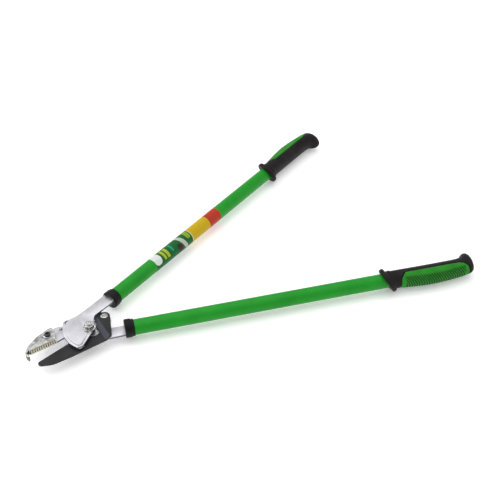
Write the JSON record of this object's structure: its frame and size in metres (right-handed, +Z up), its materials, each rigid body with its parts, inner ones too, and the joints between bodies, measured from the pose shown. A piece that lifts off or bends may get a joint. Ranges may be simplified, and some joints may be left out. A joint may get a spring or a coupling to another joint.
{
  "type": "pruning lopper",
  "caption": "Long-handled compound lopper: hooked anvil jaw, curved blade driven by a pin in a slot, tubular handles with ribbed grips.",
  "frame": {"origin": "bottom centre of the whole tool's box, lying flat with the cover plate up", "axes": "+X from the jaw towards the grips, parallel to the blade's cutting edge at rest; +Z up, along both pivots"},
  "size_m": [0.76, 0.482, 0.0407],
  "materials": {
    "plate_steel": "bright zinc-plated steel plate, satin",
    "jaw_steel": "bright plated steel, satin",
    "pad_brass": "dull soft brass, toothed",
    "blade_coating": "black non-stick coating, satin",
    "zinc_fastener": "bright zinc",
    "black_fastener": "blackened steel",
    "bush_steel": "turned steel, blackened",
    "tube_paint": "glossy green enamel on steel tube",
    "collar_plastic": "moulded black plastic",
    "grip_plastic": "moulded dark grey plastic, fine texture",
    "grip_rubber": "green soft grip, ribbed",
    "label_film": "printed film in plain colour fields"
  },
  "bodies": {
    "anvil_side": {"anvil_arm": "plate_steel", "hook_jaw": "jaw_steel", "anvil_pad": "pad_brass", "main_bolt": "zinc_fastener", "main_washer": "zinc_fastener", "main_nut": "zinc_fastener", "pivot_bush": "bush_steel", "blade_bolt": "zinc_fastener", "blade_washer": "bush_steel", "blade_nut": "zinc_fastener", "anvil_bolt": "black_fastener", "anvil_washer": "zinc_fastener", "anvil_nut": "zinc_fastener", "arm_rivet": "zinc_fastener", "lower_tube": "tube_paint", "lower_collar": "collar_plastic", "lower_grip": "grip_plastic", "lower_grip_panel": "grip_rubber"},
    "cover_side": {"cover_plate": "plate_steel", "drive_pin": "zinc_fastener", "upper_tube": "tube_paint", "upper_collar": "collar_plastic", "upper_grip": "grip_plastic", "upper_grip_panel": "grip_rubber", "tube_label": "label_film"},
    "blade_body": {"blade": "blade_coating"}
  },
  "joints": [
    {"name": "handle_pivot", "type": "hinge", "parent": "anvil_side", "child": "cover_side", "pos_m": [-0.27754, 0.09871, 0.02034], "axis": [0, 0, 1], "range_deg": [-20, 12]},
    {"name": "blade_pivot", "type": "hinge", "parent": "anvil_side", "child": "blade_body", "pos_m": [-0.24254, 0.10771, 0.02034], "axis": [0, 0, 1], "range_deg": [-10, 6]}
  ],
  "couplings": [
    {"joint": "blade_pivot", "follows": "handle_pivot", "ratio": 0.5}
  ]
}
